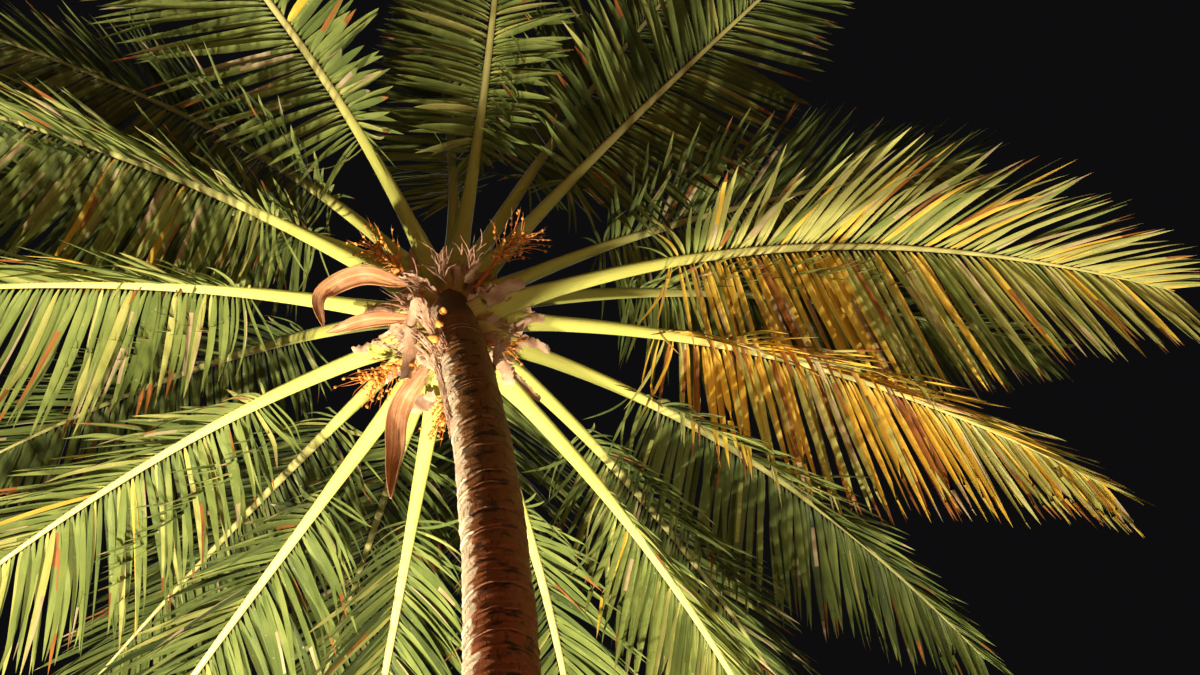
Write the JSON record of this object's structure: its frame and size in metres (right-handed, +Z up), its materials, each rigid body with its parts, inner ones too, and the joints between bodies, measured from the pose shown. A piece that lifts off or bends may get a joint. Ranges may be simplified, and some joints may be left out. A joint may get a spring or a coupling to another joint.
{
  "type": "coconut palm tree",
  "caption": "Leaning coconut palm with a ringed trunk, flared foot, arching feather fronds, flower branches, dry bracts and fibre round the crown.",
  "frame": {"origin": "middle of the flat cut under the trunk, at ground level", "axes": "+Z up, the trunk leans towards -Y and bends to -X under the crown"},
  "size_m": [9.0731, 7.5232, 9.7403],
  "materials": {
    "bark": "rough ringed bark, red-brown with dark scars",
    "stalk": "smooth waxy yellow-green skin",
    "leaf": "leathery green leaflets with a soft sheen",
    "yellow_leaf": "yellowing leaflets with brown tips",
    "bract": "dry woody husk",
    "flower": "dry orange flower twigs with small nuts",
    "fibre": "torn papery fibre cloth"
  },
  "bodies": {
    "root": {"trunk": "bark", "spear_leaf": "leaf", "stalk_01": "stalk", "stalk_02": "stalk", "stalk_03": "stalk", "stalk_04": "stalk", "stalk_05": "stalk", "stalk_06": "stalk", "stalk_07": "stalk", "stalk_08": "stalk", "stalk_09": "stalk", "stalk_10": "stalk", "stalk_11": "stalk", "stalk_12": "stalk", "stalk_13": "stalk", "stalk_14": "stalk", "stalk_15": "stalk", "stalk_16": "stalk", "stalk_17": "stalk", "stalk_18": "stalk", "stalk_19": "stalk", "stalk_20": "stalk", "stalk_21": "stalk", "stalk_22": "stalk", "stalk_23": "stalk", "stalk_24": "stalk", "blade_01": "leaf", "blade_02": "leaf", "blade_03": "leaf", "blade_04": "leaf", "blade_05": "leaf", "blade_06": "leaf", "blade_07": "leaf", "blade_08": "leaf", "blade_09": "leaf", "blade_10": "leaf", "blade_11": "leaf", "blade_12": "leaf", "blade_13": "leaf", "blade_14": "leaf", "blade_15": "leaf", "blade_16": "leaf", "blade_17": "yellow_leaf", "blade_18": "leaf", "blade_19": "leaf", "blade_20": "leaf", "blade_21": "leaf", "blade_22": "leaf", "blade_23": "leaf", "blade_24": "leaf", "bract_hooked": "bract", "bract_hanging": "bract", "bract_low": "bract", "flower_branch_upper_left": "flower", "flower_branch_upper_right": "flower", "flower_branch_lower_left": "flower", "flower_branch_by_stem": "flower", "flower_branch_right": "flower", "fibre_left": "fibre", "fibre_right": "fibre"}
  },
  "joints": []
}
